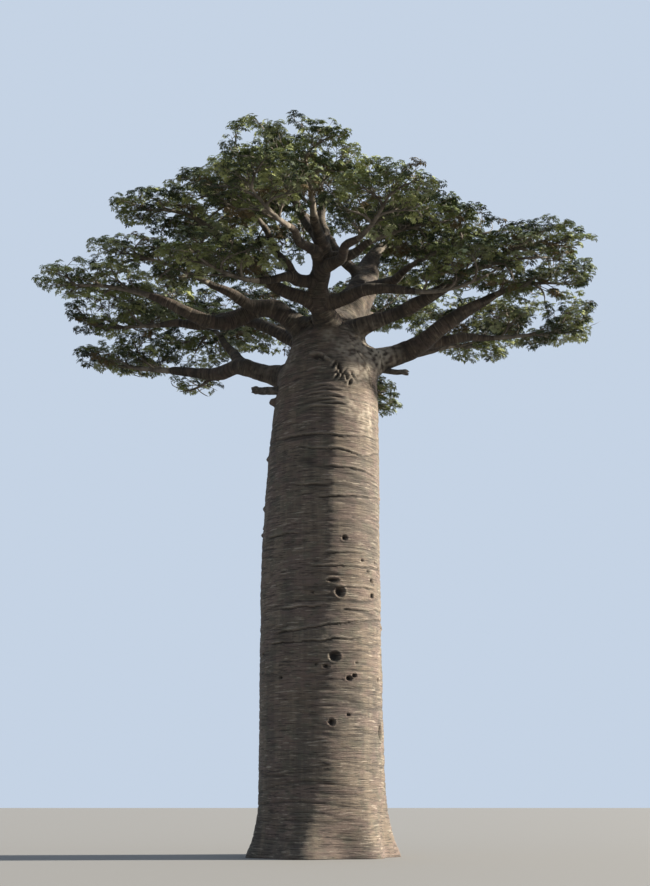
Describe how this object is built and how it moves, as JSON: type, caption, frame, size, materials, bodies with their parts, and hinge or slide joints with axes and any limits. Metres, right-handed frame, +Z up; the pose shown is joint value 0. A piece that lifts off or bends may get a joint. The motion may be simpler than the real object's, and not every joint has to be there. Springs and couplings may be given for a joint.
{
  "type": "baobab tree",
  "caption": "Old baobab tree in full leaf: a massive smooth pillar of a trunk, boughs that spread nearly level from its top, and flat layered masses of leafy twigs at their tips.",
  "frame": {"origin": "centre of the flat cut under the trunk, at ground level", "axes": "+Z up along the trunk; in the picture's view +X is to the viewer's right and +Y away from the viewer"},
  "size_m": [19.4086, 18.7103, 23.8631],
  "materials": {
    "bark": "rough grey-brown bark with fine level wrinkles",
    "dead_wood": "weathered dead wood",
    "foliage": "dull olive-green leaves"
  },
  "bodies": {
    "root": {"trunk": "bark", "bough_back": "bark", "bough_back_far": "bark", "bough_back_high": "bark", "bough_back_left": "bark", "bough_back_left_far": "bark", "bough_elbow": "bark", "bough_front": "bark", "bough_front_left": "bark", "bough_front_left_upper": "bark", "bough_front_low": "bark", "bough_front_right": "bark", "bough_front_right_upper": "bark", "bough_left_fork": "bark", "bough_left_high": "bark", "bough_left_main": "bark", "bough_left_main_back": "bark", "bough_low_left": "bark", "bough_low_left_hanging": "bark", "bough_low_left_upper": "bark", "bough_right_back": "bark", "bough_right_level": "bark", "bough_right_low": "bark", "bough_right_main": "bark", "bough_right_main_upper": "bark", "bough_right_top": "bark", "bough_top_back": "bark", "bough_top_left": "bark", "bough_top_right": "bark", "stub_left": "dead_wood", "stub_right": "dead_wood", "leaves_back": "foliage", "leaves_back_far": "foliage", "leaves_back_high": "foliage", "leaves_back_left": "foliage", "leaves_back_left_far": "foliage", "leaves_elbow": "foliage", "leaves_front": "foliage", "leaves_front_left": "foliage", "leaves_front_left_upper": "foliage", "leaves_front_low": "foliage", "leaves_front_right": "foliage", "leaves_front_right_upper": "foliage", "leaves_left_fork": "foliage", "leaves_left_high": "foliage", "leaves_left_main": "foliage", "leaves_left_main_back": "foliage", "leaves_low_left": "foliage", "leaves_low_left_hanging": "foliage", "leaves_low_left_upper": "foliage", "leaves_right_back": "foliage", "leaves_right_level": "foliage", "leaves_right_low": "foliage", "leaves_right_main": "foliage", "leaves_right_main_upper": "foliage", "leaves_right_top": "foliage", "leaves_top_back": "foliage", "leaves_top_left": "foliage", "leaves_top_right": "foliage"}
  },
  "joints": []
}
